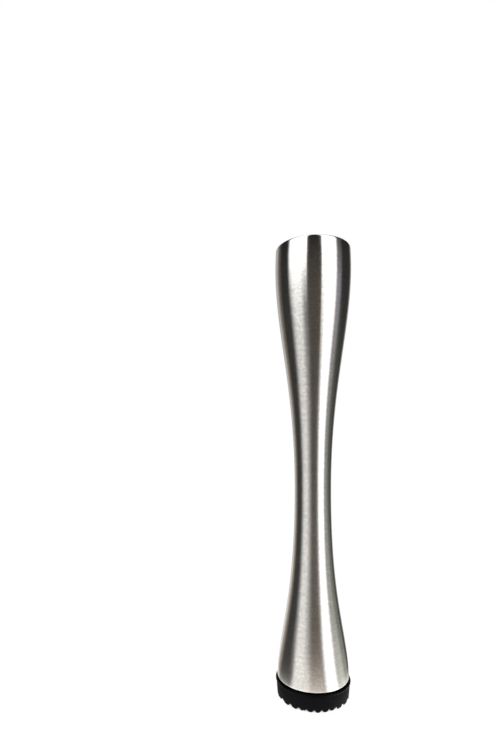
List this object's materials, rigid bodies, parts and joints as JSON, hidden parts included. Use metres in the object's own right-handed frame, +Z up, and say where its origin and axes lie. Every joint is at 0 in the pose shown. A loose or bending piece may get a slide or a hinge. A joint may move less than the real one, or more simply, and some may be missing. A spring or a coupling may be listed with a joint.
{
  "type": "muddler",
  "caption": "Bar muddler with a hollow waisted steel handle that screws onto a round black nylon head with a grid of pyramid teeth for crushing fruit and herbs.",
  "frame": {"origin": "on the tool's axis, at the tips of the teeth", "axes": "+Z up the tool's axis to the flat end of the handle; +X and +Y along the rows of teeth"},
  "size_m": [0.0342, 0.0342, 0.203],
  "materials": {
    "handle_steel": "stainless steel with a fine brushed grain round the handle",
    "inner_steel": "plain turned stainless steel",
    "silicone": "smooth deep black silicone",
    "nylon": "black moulded nylon, matte with a slight sheen"
  },
  "bodies": {
    "head": {"toothed_head": "nylon", "head_stud": "inner_steel"},
    "seal": {"sealing_gasket": "silicone"},
    "handle": {"handle_shell": "handle_steel", "end_cap": "handle_steel", "bulkhead_disc": "inner_steel", "threaded_bush": "inner_steel"}
  },
  "joints": [
    {"name": "handle_lift", "type": "slide", "parent": "head", "child": "seal", "axis": [0, 0, 1], "range_m": [0, 0.012]},
    {"name": "handle_turn", "type": "hinge", "parent": "seal", "child": "handle", "pos_m": [0, 0, 0.0083], "axis": [0, 0, 1], "range_deg": [0, 2880.1]}
  ],
  "couplings": [
    {"joint": "handle_turn", "follows": "handle_lift", "rad_per_m": 4188.8}
  ]
}
